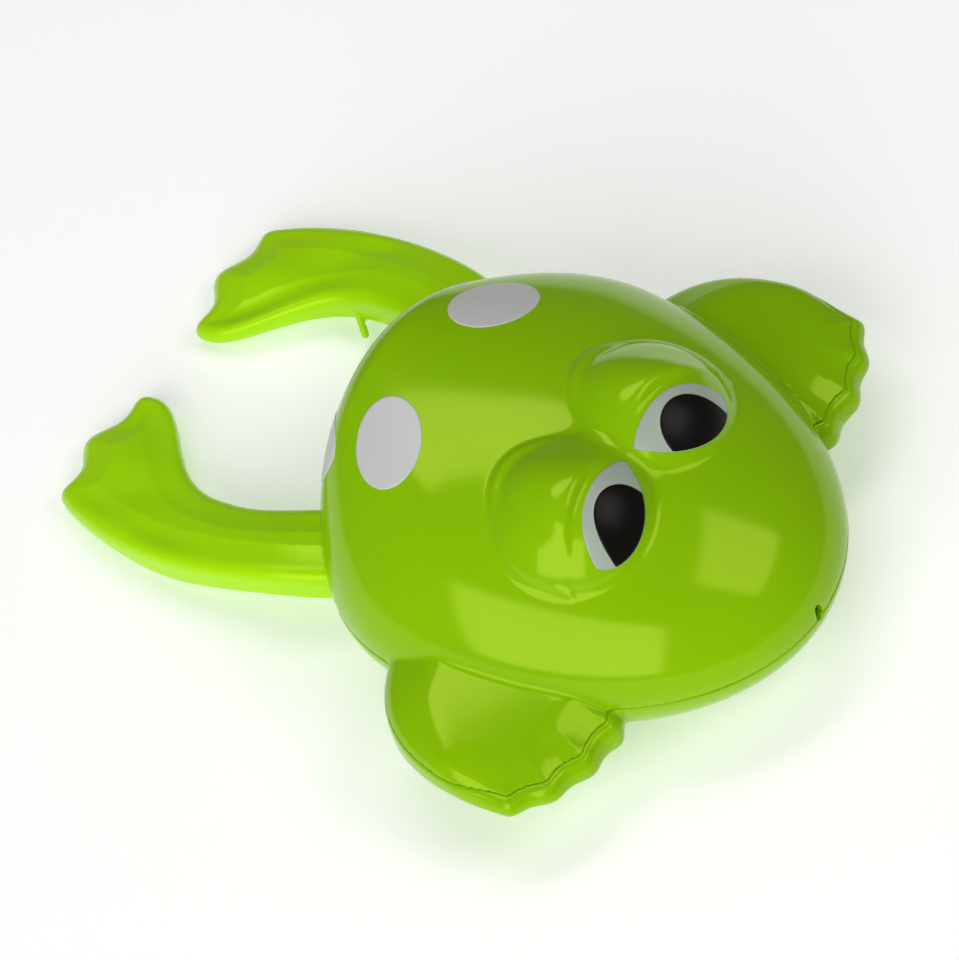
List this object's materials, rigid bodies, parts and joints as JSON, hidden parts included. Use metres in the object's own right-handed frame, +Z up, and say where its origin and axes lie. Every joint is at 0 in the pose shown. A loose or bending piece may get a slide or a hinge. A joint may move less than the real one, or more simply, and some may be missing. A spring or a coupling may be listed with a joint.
{
  "type": "wind-up swimming frog bath toy",
  "caption": "Moulded plastic clockwork swimming frog with webbed hind legs that kick, a spring motor inside a two-part hull and a winding knob in the belly.",
  "frame": {"origin": "on the plane of the flat belly, under the middle of the whole toy's box", "axes": "-Y towards the nose, +X towards the frog's left side, +Z up through the back"},
  "size_m": [0.1086, 0.134, 0.0439],
  "materials": {
    "body_plastic": "glossy moulded plastic",
    "leg_plastic": "glossy moulded plastic, a little yellower",
    "white_print": "smooth printed white",
    "black_print": "smooth printed black",
    "gear_plastic": "satin natural acetal",
    "steel": "drawn steel",
    "seal_rubber": "soft rubber"
  },
  "bodies": {
    "hull": {"upper_shell": "body_plastic", "lower_shell": "body_plastic", "left_eye_white": "white_print", "right_eye_white": "white_print", "left_pupil": "black_print", "right_pupil": "black_print", "left_spot": "white_print", "right_spot": "white_print", "left_rear_spot": "white_print", "right_rear_spot": "white_print", "arbor_seal": "seal_rubber", "mainspring": "steel", "motor_base": "gear_plastic", "motor_cover": "gear_plastic", "motor_screws": "steel", "shell_screws": "steel"},
    "left_kicker": {"left_leg": "leg_plastic"},
    "right_kicker": {"right_leg": "leg_plastic"},
    "yoke": {"leg_yoke": "gear_plastic"},
    "crank": {"crank_disc": "gear_plastic", "crank_arbor": "gear_plastic"},
    "second_arbor": {"second_wheel": "gear_plastic"},
    "great_arbor": {"great_wheel": "gear_plastic", "ratchet_click": "steel"},
    "winder": {"winding_arbor": "steel", "winding_knob": "leg_plastic"}
  },
  "joints": [
    {"name": "left_kick", "type": "hinge", "parent": "hull", "child": "left_kicker", "pos_m": [0.0165, 0.00198, 0.012], "axis": [0, 0, 1], "range_deg": [-25, 5]},
    {"name": "right_kick", "type": "hinge", "parent": "hull", "child": "right_kicker", "pos_m": [-0.0165, 0.00198, 0.012], "axis": [0, 0, 1], "range_deg": [-5, 25]},
    {"name": "yoke_slide", "type": "slide", "parent": "hull", "child": "yoke", "axis": [0, 1, 0], "range_m": [-0.00105, 0.00524]},
    {"name": "crank_turn", "type": "hinge", "parent": "hull", "child": "crank", "pos_m": [0, -0.00802, 0.02], "axis": [0, 0, 1], "range_deg": [-21.7, 108.4]},
    {"name": "second_turn", "type": "hinge", "parent": "hull", "child": "second_arbor", "pos_m": [0.0085, -0.01329, 0.02], "axis": [0, 0, 1], "range_deg": [-36.2, 7.3]},
    {"name": "great_turn", "type": "hinge", "parent": "hull", "child": "great_arbor", "pos_m": [0, -0.02246, 0.02], "axis": [0, 0, 1], "range_deg": [-1.9, 9.1]},
    {"name": "winding", "type": "hinge", "parent": "hull", "child": "winder", "pos_m": [0, -0.02246, 0.01], "axis": [0, 0, 1], "continuous": true}
  ],
  "couplings": [
    {"joint": "right_kick", "follows": "left_kick", "ratio": -1},
    {"joint": "yoke_slide", "follows": "left_kick", "m_per_rad": -0.012},
    {"joint": "crank_turn", "follows": "left_kick", "ratio": -4.3333},
    {"joint": "second_turn", "follows": "left_kick", "ratio": 1.4444},
    {"joint": "great_turn", "follows": "left_kick", "ratio": -0.36111}
  ]
}
